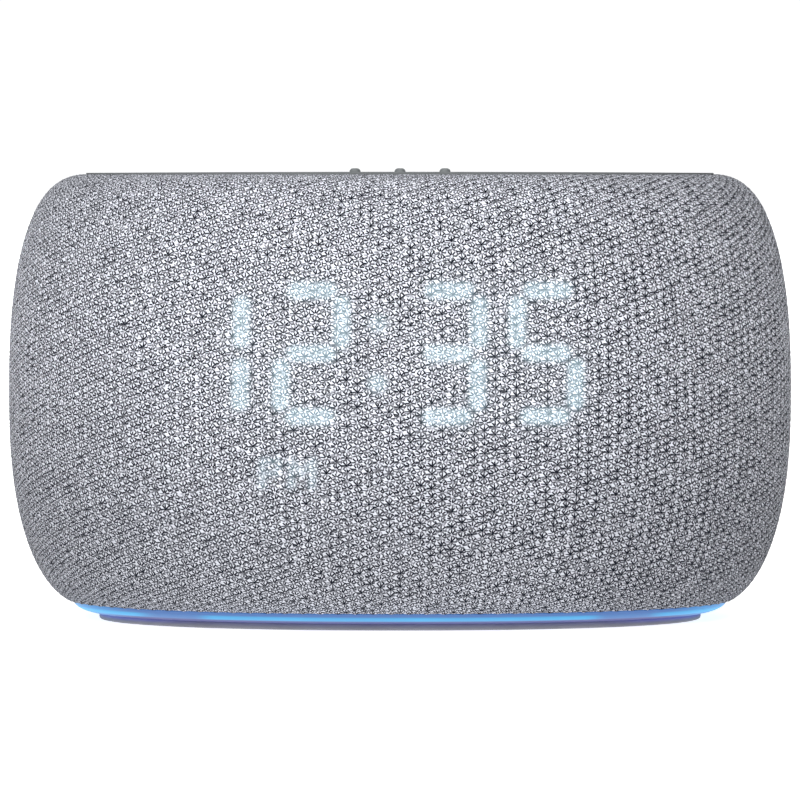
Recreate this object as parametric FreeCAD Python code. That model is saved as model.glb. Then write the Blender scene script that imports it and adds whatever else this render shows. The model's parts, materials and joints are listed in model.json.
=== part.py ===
import FreeCAD, Part
import math
import os

# A fabric-covered desktop smart speaker with a clock display, a light ring round its base and
# three keys in its top panel. Millimetres, +Z up, front towards -Y, origin under the middle of
# the rubber foot.

V = FreeCAD.Vector
X_AXIS = V(1, 0, 0)
Z_AXIS = V(0, 0, 1)

# ---- driving dimensions: the casing's skin (outside of the fabric) ----
HALF_WIDTH = 100.0          # at the widest level
DEPTH_LESS = 42.0           # half depth is the half width less this, at every level
WIDEST_Z = 57.1
TOP_RISE = 56.65            # from the widest level to the top of the skin
BOTTOM_DROP = 53.55         # from the widest level to the bottom of the skin
TOP_FLAT = 77.74            # half width where the skin turns flat at the top
BOTTOM_FLAT = 79.72         # half width where the skin turns flat at the bottom
PLAN_POWER = 2.2            # the plan outline is a superellipse of this power
TOP_POWERS = (2.416, 2.841)
BOTTOM_POWERS = (2.424, 2.116)

FABRIC = 1.2                # sleeve thickness
SHELL_OUT = 1.4             # shell's outer face, inset from the skin
SHELL_WALL = 2.5
SHELL_IN = SHELL_OUT + SHELL_WALL
CORE_INSET = SHELL_OUT + 0.8        # bosses reach this far into the wall
FAR = 150.0                 # past the casing on every side

# ---- base ----
FOOT_TOP = 1.7
FOOT_A = 77.2
FOOT_EDGE = 0.6             # rounding of the foot's lower edge
FOOT_OPENING_A = 56.0
RING_TOP = 4.85             # where the fabric starts
RING_TOP_A = 83.8
RING_SECTIONS = ((0, 0), (0.45, 0.2), (0.8, 0.55), (1, 1))      # share of the flare, of the rise
RING_INNER_A = 66.0
RING_INNER_TOP = 4.0        # top of the part under the lights
RING_LIP_A = 78.4           # the ring's outer lip stands up from here
LED_COUNT = 28
LED_SIDE = 1.6
LED_UNDER = 4.02
LED_BAND_A = (68.0, 76.0)
LED_BOARD_TOP = 4.85
LED_BOARD_THICK = 0.35
LED_TAIL = (6.0, -27.0, -7.0)       # half width, front end, back end
PLATE_TOP = 4.4
PLATE_GAP = 0.4
SHELL_FLOOR_OPENING_A = 52.0
LABEL = (30.0, 8.0, 0.2)    # half width, half depth, thickness
LABEL_GAP = 0.05
LABEL_MARGIN = 0.5

# ---- top panel and keys ----
PANEL_A = 80.2
PANEL_UNDER = 112.4
PANEL_CROWN = 114.3
CROWN_RADIUS = 11500.0
PANEL_SKIRT_A = 71.5
SKIRT_WALL = 1.6
SKIRT_BOTTOM = 107.0
HOOK_X = (-45.0, 0.0, 45.0)
HOOK_HALF = 4.0
HOOK_TALL = 1.8
HOOK_TOP = WIDEST_Z + TOP_RISE - SHELL_IN - 0.2
SHELL_TOP_OPENING_A = 72.0
SLEEVE_TOP_A = 80.5
KEY_PITCH = 11.5
KEY_RADIUS = 4.5
KEY_GAP = 0.3
NUB_RADIUS = 1.43
NUB_TOP = 115.2
CAP_EDGE = 0.25             # rounding of the cap's upper edge
NUB_EDGE = 0.95            # the nub is nearly a dome
KEY_FLANGE_REACH = 1.1
KEY_FLANGE_THICK = 1.2
KEY_FLANGE_GAP = 0.35       # the flange's stop is this far under the panel
PLUNGER_RADIUS = 1.4
KEY_BOARD = (34.0, 12.0, 103.4, 105.0)      # half width, half depth, underside, top
SWITCH_TOP = 107.5
SWITCH_HALF = 3.0
STEM_RADIUS = 0.9
STEM_RISE = 0.9             # stem above the switch body
MIC_X = 24.0
MIC = (1.9, 1.5, 1.1)       # half width, half depth, height
MIC_PORT_RADIUS = 0.6
MIC_BOOT_RADIUS = 2.6

# ---- display ----
LENS_Y = -42.0
REFLECTOR_Y = -41.0
DISPLAY_BOARD_Y = -35.0
DISPLAY_BACK_Y = -33.4
DISPLAY_HALF = 58.0
DISPLAY_Z = (35.5, 89.5)
DIGIT_X = (-46.6, -21.9, 11.9, 36.2)
DIGIT_Z = 69.2
DIGIT_WIDTH = 14.6          # between the middles of the upright segments
DIGIT_HEIGHT = 31.4         # between the middles of the top and bottom segments
SEGMENT = 3.8
SEGMENT_DEEP = 5.2
COLON_X = -4.8
COLON_RISE = 7.4
COLON_RADIUS = 1.8
HALF_DAY_X = (-31.0, -23.0)
HALF_DAY_Z = 40.7
TIME_SHOWN = "1235"
SEGMENTS_LIT = {"1": "BC", "2": "ABGED", "3": "ABGCD", "5": "AFGCD"}

# ---- loudspeakers, set at 45 degrees in the front corners ----
DRIVER_X = 76.0
DRIVER_Y = -27.5
DRIVER_Z = 56.0
DRIVER_TURN = 45.0
FLANGE_R = 18.0
BASKET_R = 14.6
SLOT_FIELD_R = 17.0         # the sound slots fill a round field of this radius
SLOT_PITCH = 3.8
SLOT_HALF = 1.1
DRIVER_SCREW_CIRCLE_R = 16.4
BOX_X = 48.0
BOX_FRONT_X = 59.5
BOX_STEP_Y = -31.0
BOX_Z = (14.0, 100.0)
BOX_WALL = 2.0
BOX_INSET = SHELL_IN + 0.5

# ---- main board and the sockets at the back ----
BOARD_HALF = 36.0
BOARD_Y = (30.0, 31.6)
BOARD_Z = (14.0, 92.0)
RECESS_HALF = 21.5
RECESS_Z = (13.0, 30.0)
RECESS_FLOOR_Y = 44.0
RECESS_WALL = 1.5
SOCKET_Z = 21.5
JACK_X = -10.5
USB_X = 10.5

# ---- fasteners ----
SCREW_R = 1.5
SCREW_HEAD_R = 2.8
SCREW_HOLE_R = 1.7
SMALL_SCREW_R = 1.1
SMALL_SCREW_HEAD_R = 2.2
SMALL_SCREW_HOLE_R = 1.2
DRIVER_SCREW_R = 0.9
BOSS_R = 3.5                # round a casing screw
CASE_SCREW_WELL_R = 2.9
CASE_SCREW_SEAT_Y = 8.0     # its head stands on the rear boss here
CASE_SCREW_TIP_Y = -12.0
POST_R = 2.5                # behind a display screw
BOARD_POST_R = 3.0          # behind a main board screw
CASE_SCREW_X = 40.0
CASE_SCREW_Z = (16.0, 100.0)
BASE_SCREW_XY = (46.0, 13.0)
BASE_SCREW_SINK = 1.3       # how far its head stands in the plate
BASE_SCREW_WELL_R = 3.0
BASE_SCREW_TIP = 7.4
BOARD_SCREW_XZ = ((31.0, 40.0), (31.0, 86.0))
KEY_BOARD_SCREW_XY = (28.0, 8.5)
DISPLAY_SCREW_X = 50.0
DISPLAY_SCREW_Z = (32.0, 93.0)

os.makedirs("parts", exist_ok=True)


# ---- helpers ----

def export(name, *solids):
    """Write one node's STEP file, with one or more separate solids in it."""
    shape = solids[0] if len(solids) == 1 else Part.makeCompound(list(solids))
    shape.exportStep("parts/" + name + ".step")


def box(x0, x1, y0, y1, z0, z1):
    return Part.makeBox(x1 - x0, y1 - y0, z1 - z0, V(x0, y0, z0))


def rod(radius, start, end):
    """A cylinder from one point to another."""
    axis = end - start
    return Part.makeCylinder(radius, axis.Length, start, axis)


def rod_y(radius, x, z, y0, y1):
    return rod(radius, V(x, y0, z), V(x, y1, z))


def rod_z(radius, x, y, z0, z1):
    return rod(radius, V(x, y, z0), V(x, y, z1))


def turned(points):
    """A solid of revolution about Z from (radius, z) corners."""
    corners = [V(r, 0, z) for r, z in points]
    face = Part.Face(Part.makePolygon(corners + corners[:1]))
    return face.revolve(V(0, 0, 0), Z_AXIS, 360)


def plan_depth(a, x):
    """How far the plan outline of half width a reaches along Y at x."""
    return (a - DEPTH_LESS) * (1 - abs(x / a) ** PLAN_POWER) ** (1 / PLAN_POWER)


def outline(a, z, points=32):
    """The closed plan outline of half width a at height z."""
    b = a - DEPTH_LESS
    corners = []
    for i in range(points):
        turn = 2 * math.pi * i / points
        c = math.cos(turn)
        s = math.sin(turn)
        x = a * math.copysign(abs(c) ** (2 / PLAN_POWER), c)
        y = b * math.copysign(abs(s) ** (2 / PLAN_POWER), s)
        corners.append(V(x, y, z))
    curve = Part.BSplineCurve()
    curve.interpolate(Points=corners, PeriodicFlag=True)
    return Part.Wire(curve.toShape())


def prism(a, z0, z1):
    return Part.Face(outline(a, z0)).extrude(V(0, 0, z1 - z0))


def band(outer_a, inner_a, z0, z1):
    """An upright band between two plan outlines."""
    return prism(outer_a, z0, z1).cut(prism(inner_a, z0 - 1, z1 + 1))


def skin_level(inset, turn):
    """Half width and height of the skin, inset all round; turn runs from -90 to 90 degrees."""
    t = abs(math.sin(math.radians(turn)))
    flat, reach, powers, sign = TOP_FLAT, TOP_RISE, TOP_POWERS, 1
    if turn < 0:
        flat, reach, powers, sign = BOTTOM_FLAT, BOTTOM_DROP, BOTTOM_POWERS, -1
    bulge = (1 - min(t, 1) ** powers[0]) ** (1 / powers[1])
    a = flat + (HALF_WIDTH - inset - flat) * bulge
    return a, WIDEST_Z + sign * t * (reach - inset)


def body(inset):
    """The whole casing as one solid, its surface inset from the outside of the fabric."""
    turns = (-90, -84, -75, -63, -48, -32, -16, 0, 16, 32, 48, 62, 74, 83, 90)
    return Part.makeLoft([outline(*skin_level(inset, turn)) for turn in turns], True, False)


def corners_of(x, z):
    return [(sx * x, sz) for sx in (-1, 1) for sz in z]


def swept(path_points, radius, make_profile):
    """Sweep a profile along straight runs joined by arcs of one radius."""
    edges = []
    start = path_points[0]
    for before, corner, after in zip(path_points, path_points[1:], path_points[2:]):
        way_in = (corner - before).normalize()
        way_out = (after - corner).normalize()
        half = way_in.getAngle(way_out) / 2
        first = corner - way_in * (radius * math.tan(half))
        last = corner + way_out * (radius * math.tan(half))
        inward = (way_out - way_in).normalize()
        middle = corner + inward * (radius / math.cos(half) - radius)
        edges.append(Part.LineSegment(start, first).toShape())
        edges.append(Part.Arc(first, middle, last).toShape())
        start = last
    edges.append(Part.LineSegment(start, path_points[-1]).toShape())
    path = Part.Wire(edges)
    return path.makePipeShell([make_profile(path_points[0], path_points[1])], True, False)


def flat_lead(path_points, radius, width, thickness=0.4):
    """A flat flexible lead whose width lies along X."""
    def profile(start, towards):
        up = X_AXIS.cross((towards - start).normalize()) * (thickness / 2)
        side = X_AXIS * (width / 2)
        corners = [start - side - up, start + side - up, start + side + up, start - side + up]
        return Part.makePolygon(corners + corners[:1])
    return swept(path_points, radius, profile)


def round_lead(path_points, radius, wire_radius):
    def profile(start, towards):
        return Part.Wire(Part.makeCircle(wire_radius, start, towards - start))
    return swept(path_points, radius, profile)


def screw(head_at, tip_at, shank_radius, head_radius, head_height):
    """A pan-head screw: the head stands on head_at, the shank runs from there to tip_at."""
    way = (tip_at - head_at).normalize()
    head = rod(head_radius, head_at - way * head_height, head_at)
    socket = rod(head_radius * 0.45, head_at - way * head_height, head_at - way * head_height * 0.4)
    return head.cut(socket).fuse(rod(shank_radius, head_at, tip_at)).removeSplitter()


def small_screw(head_at, tip_at):
    return screw(head_at, tip_at, SMALL_SCREW_R, SMALL_SCREW_HEAD_R, 1.4)


def at_driver(shape, side):
    """Carry a shape from the driver's own frame (+Z out of the cone) to its place."""
    out = V(side * math.sin(math.radians(DRIVER_TURN)), -math.cos(math.radians(DRIVER_TURN)), 0)
    place = FreeCAD.Placement(V(side * DRIVER_X, DRIVER_Y, DRIVER_Z), FreeCAD.Rotation(Z_AXIS, out))
    placed = shape.copy()
    placed.transformShape(place.toMatrix())
    return placed


# ---- casing ----

def recess_block(half, z0, z1, y0, corner):
    """The block of the socket recess, its corners rounded, open towards +Y."""
    block = box(-half, half, y0, 70, z0, z1)
    upright = [e for e in block.Edges if abs(e.tangentAt(0).y) > 0.9]
    return block.makeFillet(corner, upright)


def recess_outside():
    w = RECESS_WALL
    return recess_block(RECESS_HALF + w, RECESS_Z[0] - w, RECESS_Z[1] + w, RECESS_FLOOR_Y - w, 4.0)


def fabric_sleeve():
    sleeve = body(0).cut(body(FABRIC))
    sleeve = sleeve.cut(box(-FAR, FAR, -FAR, FAR, -FAR, RING_TOP))
    sleeve = sleeve.cut(prism(SLEEVE_TOP_A, WIDEST_Z, FAR))
    sleeve = sleeve.cut(recess_outside())
    export("fabric_sleeve", sleeve)


def sound_slots(side):
    slots = []
    for i in range(-4, 5):
        x = SLOT_PITCH * i
        half = math.sqrt(SLOT_FIELD_R ** 2 - x ** 2) - SLOT_HALF
        slots.append(box(x - SLOT_HALF, x + SLOT_HALF, -half, half, 0.5, 30))
    return at_driver(Part.makeCompound(slots), side)


def casing_boss(x, z, y0, y1):
    return rod_y(BOSS_R, x, z, y0, y1).common(body(CORE_INSET))


def shells():
    hollow = body(SHELL_OUT).cut(body(SHELL_IN))
    hollow = hollow.cut(prism(SHELL_FLOOR_OPENING_A, -FAR, WIDEST_Z))
    hollow = hollow.cut(prism(SHELL_TOP_OPENING_A, WIDEST_Z, FAR))
    front = hollow.common(box(-FAR, FAR, -FAR, 0, -FAR, FAR))
    rear = hollow.common(box(-FAR, FAR, 0, FAR, -FAR, FAR))
    screws = corners_of(CASE_SCREW_X, CASE_SCREW_Z)

    front = front.fuse([casing_boss(x, z, -60, 0) for x, z in screws])
    posts = corners_of(DISPLAY_SCREW_X, DISPLAY_SCREW_Z)
    core = body(CORE_INSET)
    front = front.fuse([rod_y(POST_R, x, z, -FAR, DISPLAY_BOARD_Y).common(core) for x, z in posts])
    cuts = [rod_y(SCREW_R, x, z, CASE_SCREW_TIP_Y - 2, 0) for x, z in screws]
    cuts += [rod_y(SMALL_SCREW_R, x, z, DISPLAY_BOARD_Y - 6, DISPLAY_BOARD_Y) for x, z in posts]
    cuts += [sound_slots(-1), sound_slots(1)]
    window = DISPLAY_HALF - 1
    cuts.append(box(-window, window, -70, LENS_Y + 0.2, DISPLAY_Z[0] + 1, DISPLAY_Z[1] - 1))
    cuts.append(base_screw_rods(SCREW_R, -1))
    export("front_shell", front.cut(cuts))

    rear = rear.fuse([casing_boss(x, z, 0, 60) for x, z in screws])
    board_posts = corners_of(BOARD_SCREW_XZ[0][0], [z for _, z in BOARD_SCREW_XZ])
    rear = rear.fuse([rod_y(BOARD_POST_R, x, z, BOARD_Y[1], 60).common(core) for x, z in board_posts])
    cuts = [rod_y(SCREW_HOLE_R, x, z, -1, CASE_SCREW_SEAT_Y) for x, z in screws]
    cuts += [rod_y(CASE_SCREW_WELL_R, x, z, CASE_SCREW_SEAT_Y, 60) for x, z in screws]
    cuts += [rod_y(SMALL_SCREW_R, x, z, BOARD_Y[1] - 1, BOARD_Y[1] + 6) for x, z in board_posts]
    cuts.append(recess_outside())
    cuts.append(base_screw_rods(SCREW_R, 1))
    export("rear_shell", rear.cut(cuts))


def casing_screws():
    screws = []
    for x, z in corners_of(CASE_SCREW_X, CASE_SCREW_Z):
        seat = V(x, CASE_SCREW_SEAT_Y, z)
        screws.append(screw(seat, V(x, CASE_SCREW_TIP_Y, z), SCREW_R, SCREW_HEAD_R, 2.2))
    return screws


def rear_io_panel():
    flange = recess_block(RECESS_HALF + 3, RECESS_Z[0] - 3, RECESS_Z[1] + 3, 40, 5.0)
    flange = flange.common(body(-0.4)).cut(body(-0.02))
    tray = recess_outside().common(body(-0.2)).fuse(flange)
    tray = tray.cut(recess_block(RECESS_HALF, RECESS_Z[0], RECESS_Z[1], RECESS_FLOOR_Y, 2.5))
    tray = tray.cut(rod_y(4.0, JACK_X, SOCKET_Z, 40, 46))
    usb = box(USB_X - 4.6, USB_X + 4.6, 40, 46, SOCKET_Z - 1.75, SOCKET_Z + 1.75)
    export("rear_io_panel", tray.cut(usb))


# ---- base ----

def base_screw_spots():
    return [(sx * BASE_SCREW_XY[0], sy * BASE_SCREW_XY[1]) for sx in (-1, 1) for sy in (-1, 1)]


def base_screw_rods(radius, side):
    spots = [(x, y) for x, y in base_screw_spots() if y * side > 0]
    return Part.makeCompound([rod_z(radius, x, y, 0, 11) for x, y in spots])


def rubber_foot():
    foot = prism(FOOT_A, 0, FOOT_TOP)
    edge = [e for e in foot.Edges if e.BoundBox.ZMax < 0.01]
    foot = foot.makeFillet(FOOT_EDGE, edge)
    export("rubber_foot", foot.cut(prism(FOOT_OPENING_A, -1, FOOT_TOP + 1)))


def light_ring():
    """The lit ring: flat under the lights, with a lip outside them that rises to the fabric."""
    rise = RING_TOP - FOOT_TOP
    flare = RING_TOP_A - FOOT_A
    sections = [outline(FOOT_A + out * flare, FOOT_TOP + up * rise) for out, up in RING_SECTIONS]
    ring = Part.makeLoft(sections, True, False).cut(prism(RING_INNER_A, 0, RING_TOP + 1))
    export("light_ring", ring.cut(prism(RING_LIP_A, RING_INNER_TOP, RING_TOP + 1)))


def ring_lights():
    """The ring's flexible board, its tail towards the main board, and the lights under it."""
    under = LED_BOARD_TOP - LED_BOARD_THICK
    half, front, back = LED_TAIL
    flex = band(LED_BAND_A[1], LED_BAND_A[0], under, LED_BOARD_TOP)
    tail = box(-half, half, front, back, under, LED_BOARD_TOP)
    export("light_ring_board", flex.fuse(tail).removeSplitter())
    lights = []
    middle = sum(LED_BAND_A) / 2
    side = LED_SIDE / 2
    for i in range(LED_COUNT):
        turn = 2 * math.pi * (i + 0.5) / LED_COUNT
        x = middle * math.cos(turn)
        y = math.copysign(plan_depth(middle, x), math.sin(turn))
        lights.append(box(x - side, x + side, y - side, y + side, LED_UNDER, under - 0.01))
    export("light_ring_lights", *lights)


def base_plate():
    plate = prism(RING_INNER_A - PLATE_GAP, FOOT_TOP, PLATE_TOP)
    head_z = FOOT_TOP + BASE_SCREW_SINK
    label_top = FOOT_TOP + LABEL_GAP + LABEL[2]
    holes = [rod_z(SCREW_HOLE_R, x, y, 0, PLATE_TOP + 1) for x, y in base_screw_spots()]
    holes += [rod_z(BASE_SCREW_WELL_R, x, y, 0, head_z) for x, y in base_screw_spots()]
    wide, deep = LABEL[0] + LABEL_MARGIN, LABEL[1] + LABEL_MARGIN
    holes.append(box(-wide, wide, -deep, deep, 1, label_top))
    export("base_plate", plate.cut(holes))
    export("rating_label", box(-LABEL[0], LABEL[0], -LABEL[1], LABEL[1], label_top - LABEL[2], label_top))
    screws = []
    for x, y in base_screw_spots():
        screws.append(screw(V(x, y, head_z), V(x, y, BASE_SCREW_TIP), SCREW_R, SCREW_HEAD_R, 1.2))
    export("base_screws", *screws)


# ---- top panel, keys and their board ----

def key_spots():
    return (("volume_down", -KEY_PITCH), ("action", 0.0), ("volume_up", KEY_PITCH))


def key_board_screw_spots():
    return [(i * KEY_BOARD_SCREW_XY[0], j * KEY_BOARD_SCREW_XY[1]) for i in (-1, 1) for j in (-1, 1)]


def crown_z(x):
    return PANEL_CROWN - x * x / (2 * CROWN_RADIUS)


def panel_hooks():
    """Snap hooks outside the skirt, at the front and at the back."""
    hooks = []
    for x in HOOK_X:
        y = plan_depth(PANEL_SKIRT_A, x)
        for near, far in ((y - 1.2, y + 1.4), (-y - 1.4, -y + 1.2)):
            hooks.append(box(x - HOOK_HALF, x + HOOK_HALF, near, far, HOOK_TOP - HOOK_TALL, HOOK_TOP))
    return hooks


def top_panel():
    """The slightly crowned panel with its skirt, snap hooks and the bosses of the key board."""
    ball = Part.makeSphere(CROWN_RADIUS, V(0, 0, PANEL_CROWN - CROWN_RADIUS))
    plate = prism(PANEL_A, PANEL_UNDER, PANEL_CROWN + 1).common(ball)
    skirt = band(PANEL_SKIRT_A, PANEL_SKIRT_A - SKIRT_WALL, SKIRT_BOTTOM, PANEL_UNDER)
    bosses = [rod_z(3.0, x, y, KEY_BOARD[3], PANEL_UNDER) for x, y in key_board_screw_spots()]
    panel = plate.fuse([skirt] + panel_hooks() + bosses).removeSplitter()
    cuts = [rod_z(KEY_RADIUS + KEY_GAP, x, 0, SKIRT_BOTTOM, FAR) for _, x in key_spots()]
    cuts += [rod_z(MIC_PORT_RADIUS, x, 0, SKIRT_BOTTOM, FAR) for x in (-MIC_X, MIC_X)]
    top = KEY_BOARD[3]
    cuts += [rod_z(SMALL_SCREW_R, x, y, top - 1, top + 5.5) for x, y in key_board_screw_spots()]
    export("top_panel", panel.cut(cuts))


def key(name, x):
    """A cap flush with the panel, a nub on it, a flange under it and a plunger to its switch."""
    top = crown_z(x)
    flange_top = PANEL_UNDER - KEY_FLANGE_GAP
    flange_under = flange_top - KEY_FLANGE_THICK
    stem_top = SWITCH_TOP + STEM_RISE
    cap = rod_z(KEY_RADIUS, x, 0, flange_under, top)
    cap = cap.makeFillet(CAP_EDGE, [e for e in cap.Edges if e.BoundBox.ZMin > top - 0.01])
    nub = rod_z(NUB_RADIUS, x, 0, top - 0.3, NUB_TOP)
    nub = nub.makeFillet(NUB_EDGE, [e for e in nub.Edges if e.BoundBox.ZMin > NUB_TOP - 0.01])
    flange = rod_z(KEY_RADIUS + KEY_FLANGE_REACH, x, 0, flange_under, flange_top)
    plunger = rod_z(PLUNGER_RADIUS, x, 0, stem_top, flange_under)
    export(name + "_key", cap.fuse([nub, flange, plunger]).removeSplitter())
    export(name + "_switch_stem", rod_z(STEM_RADIUS, x, 0, SWITCH_TOP - 0.6, stem_top))


def key_board():
    half_w, half_d, under, top = KEY_BOARD
    board = box(-half_w, half_w, -half_d, half_d, under, top)
    spots = key_board_screw_spots()
    export("key_board", board.cut([rod_z(SMALL_SCREW_HOLE_R, x, y, under - 1, top + 1) for x, y in spots]))
    switches = []
    for _, x in key_spots():
        case = box(x - SWITCH_HALF, x + SWITCH_HALF, -SWITCH_HALF, SWITCH_HALF, top, SWITCH_TOP)
        switches.append(case.cut(rod_z(STEM_RADIUS + 0.07, x, 0, top + 0.9, SWITCH_TOP + 1)))
    export("key_switches", *switches)
    half_x, half_y, tall = MIC
    mics = []
    boots = []
    for x in (-MIC_X, MIC_X):
        mics.append(box(x - half_x, x + half_x, -half_y, half_y, top, top + tall))
        boot = rod_z(MIC_BOOT_RADIUS, x, 0, top + tall, PANEL_UNDER)
        boots.append(boot.cut(rod_z(MIC_PORT_RADIUS + 0.2, x, 0, top, FAR)))
    export("microphones", *mics)
    export("microphone_boots", *boots)
    return [small_screw(V(x, y, under), V(x, y, top + 5)) for x, y in spots]


# ---- clock display ----

def segment(x, z, upright):
    """One bar of a digit, pointed at both ends."""
    half = (DIGIT_HEIGHT / 4 if upright else DIGIT_WIDTH / 2) - 0.35
    t = SEGMENT / 2
    shape = [(-half, 0), (-half + t, t), (half - t, t), (half, 0), (half - t, -t), (-half + t, -t)]
    if upright:
        shape = [(b, a) for a, b in shape]
    corners = [V(x + a, REFLECTOR_Y, z + b) for a, b in shape]
    return Part.Face(Part.makePolygon(corners + corners[:1])).extrude(V(0, SEGMENT_DEEP, 0))


def digit_segments(x):
    w = DIGIT_WIDTH / 2
    h = DIGIT_HEIGHT / 2
    spots = {"A": (0, h, False), "B": (w, h / 2, True), "C": (w, -h / 2, True), "D": (0, -h, False)}
    spots.update({"E": (-w, -h / 2, True), "F": (-w, h / 2, True), "G": (0, 0, False)})
    return {name: segment(x + dx, DIGIT_Z + dz, up) for name, (dx, dz, up) in spots.items()}


def half_day_letters():
    """The bars of the small half-day indicator: a P and an M."""
    px, mx = HALF_DAY_X
    t = 1.1
    bars = [(px - 2.4, px - 2.4 + t, -3.2, 3.2), (px - 1.2, px + 2.2, 2.1, 3.2)]
    bars += [(px - 1.2, px + 2.2, -0.6, 0.5), (px + 1.1, px + 2.2, 0.6, 2.0)]
    bars += [(mx - 2.9, mx - 2.9 + t, -3.2, 3.2), (mx + 1.8, mx + 1.8 + t, -3.2, 3.2)]
    bars += [(mx - 0.55, mx + 0.55, -0.6, 2.0), (mx - 1.7, mx - 0.65, 1.4, 3.2)]
    bars.append((mx + 0.65, mx + 1.7, 1.4, 3.2))
    z = HALF_DAY_Z
    return [box(x0, x1, REFLECTOR_Y, REFLECTOR_Y + SEGMENT_DEEP, z + z0, z + z1) for x0, x1, z0, z1 in bars]


def display():
    lit = []
    unlit = []
    for figure, x in zip(TIME_SHOWN, DIGIT_X):
        for name, bar in digit_segments(x).items():
            (lit if name in SEGMENTS_LIT[figure] else unlit).append(bar)
    deep = REFLECTOR_Y + SEGMENT_DEEP
    levels = (DIGIT_Z - COLON_RISE, DIGIT_Z + COLON_RISE)
    dots = [rod_y(COLON_RADIUS, COLON_X, z, REFLECTOR_Y, deep) for z in levels]
    letters = half_day_letters()
    z0, z1 = DISPLAY_Z
    export("display_lit_segments", *(lit + dots))
    export("display_unlit_segments", *unlit)
    export("display_half_day_indicator", *letters)
    reflector = box(-DISPLAY_HALF, DISPLAY_HALF, REFLECTOR_Y, DISPLAY_BOARD_Y, z0, z1)
    export("display_reflector", reflector.cut(lit + unlit + dots + letters))
    export("display_lens", box(-DISPLAY_HALF, DISPLAY_HALF, LENS_Y, REFLECTOR_Y, z0, z1))
    posts = corners_of(DISPLAY_SCREW_X, DISPLAY_SCREW_Z)
    board = box(-54, 54, DISPLAY_BOARD_Y, DISPLAY_BACK_Y, 29, 96)
    holes = [rod_y(SMALL_SCREW_HOLE_R, x, z, DISPLAY_BOARD_Y - 1, DISPLAY_BACK_Y + 1) for x, z in posts]
    export("display_board", board.cut(holes))
    tip = DISPLAY_BOARD_Y - 5
    return [small_screw(V(x, DISPLAY_BACK_Y, z), V(x, tip, z)) for x, z in posts]


# ---- loudspeakers ----

def speaker_region(inset, grow):
    """The space behind the right-hand baffle, between the casing and the display."""
    z0, z1 = BOX_Z
    wide = box(BOX_X + grow, FAR, BOX_STEP_Y + grow, FAR, z0 + grow, z1 - grow)
    narrow = box(BOX_FRONT_X + grow, FAR, -FAR, FAR, z0 + grow, z1 - grow)
    block = wide.fuse(narrow).removeSplitter()
    behind = at_driver(box(-FAR, FAR, -FAR, FAR, -2 * FAR, -grow), 1)
    return body(inset).common(block).common(behind)


def speaker_box(name, side):
    walls = speaker_region(BOX_INSET, 0).cut(speaker_region(BOX_INSET + BOX_WALL, BOX_WALL))
    cuts = [at_driver(rod_z(BASKET_R, 0, 0, -12, 5), 1)]
    cuts += [at_driver(rod_z(DRIVER_SCREW_R, x, y, -2.5, 1), 1) for x, y in driver_screw_spots()]
    walls = walls.cut(cuts)
    if side < 0:
        walls = walls.mirror(V(0, 0, 0), X_AXIS)
    export(name + "_speaker_box", walls)


def driver_screw_spots():
    reach = DRIVER_SCREW_CIRCLE_R / math.sqrt(2)
    return [(i * reach, j * reach) for i in (-1, 1) for j in (-1, 1)]


def driver(name, side):
    basket = turned([(15.0, 0), (FLANGE_R, 0), (FLANGE_R, 1.2), (12.9, 1.2), (9.4, -7.0), (6.5, -7.0),
                     (6.5, -8.0), (10.2, -8.0), (13.6, -0.6), (15.0 - 0.6, -0.6), (15.0 - 0.6, 0)])
    holes = [rod_z(0.95, x, y, -3, 4) for x, y in driver_screw_spots()]
    magnet = turned([(0, -17.5), (10, -17.5), (10, -8.0), (6.4, -8.0), (6.4, -15.5), (4.6, -15.5),
                     (4.6, -7.2), (0, -7.2)])
    cone = turned([(0, -2.6), (3.0, -3.1), (5.1, -4.4), (5.1, -13.0), (5.6, -13.0), (5.6, -5.4),
                   (11.2, 1.0), (11.9, 1.0), (11.9, 1.25), (11.0, 1.25), (5.4, -4.9), (5.2, -3.9),
                   (3.0, -2.6), (0, -2.1)])
    roll_out = Part.Face(Part.Wire([
        Part.Arc(V(11.95, 0, 1.6), V(13.2, 0, 2.85), V(14.45, 0, 1.6)).toShape(),
        Part.LineSegment(V(14.45, 0, 1.6), V(14.85, 0, 1.6)).toShape(),
        Part.Arc(V(14.85, 0, 1.6), V(13.2, 0, 3.25), V(11.55, 0, 1.6)).toShape(),
        Part.LineSegment(V(11.55, 0, 1.6), V(11.95, 0, 1.6)).toShape()]))
    surround = roll_out.revolve(V(0, 0, 0), Z_AXIS, 360)
    surround = surround.fuse([turned([(10.9, 1.27), (12.0, 1.27), (12.0, 1.65), (10.9, 1.65)]),
                              turned([(14.4, 1.22), (14.8, 1.22), (14.8, 1.65), (14.4, 1.65)])])
    spider = turned([(5.65, -6.2), (6.6, -5.9), (7.6, -6.4), (8.6, -5.9), (9.35, -6.3), (9.35, -6.6),
                     (8.6, -6.2), (7.6, -6.7), (6.6, -6.2), (5.65, -6.5)])
    export(name + "_driver_basket", at_driver(basket.cut(holes), side))
    export(name + "_driver_magnet", at_driver(magnet, side))
    export(name + "_driver_cone", at_driver(cone, side))
    export(name + "_driver_surround", at_driver(surround, side))
    export(name + "_driver_spider", at_driver(spider, side))
    screws = [screw(V(x, y, 1.2), V(x, y, -2.2), DRIVER_SCREW_R, 1.5, 1.0) for x, y in driver_screw_spots()]
    return [at_driver(one, side) for one in screws]


# ---- electronics ----

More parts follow.
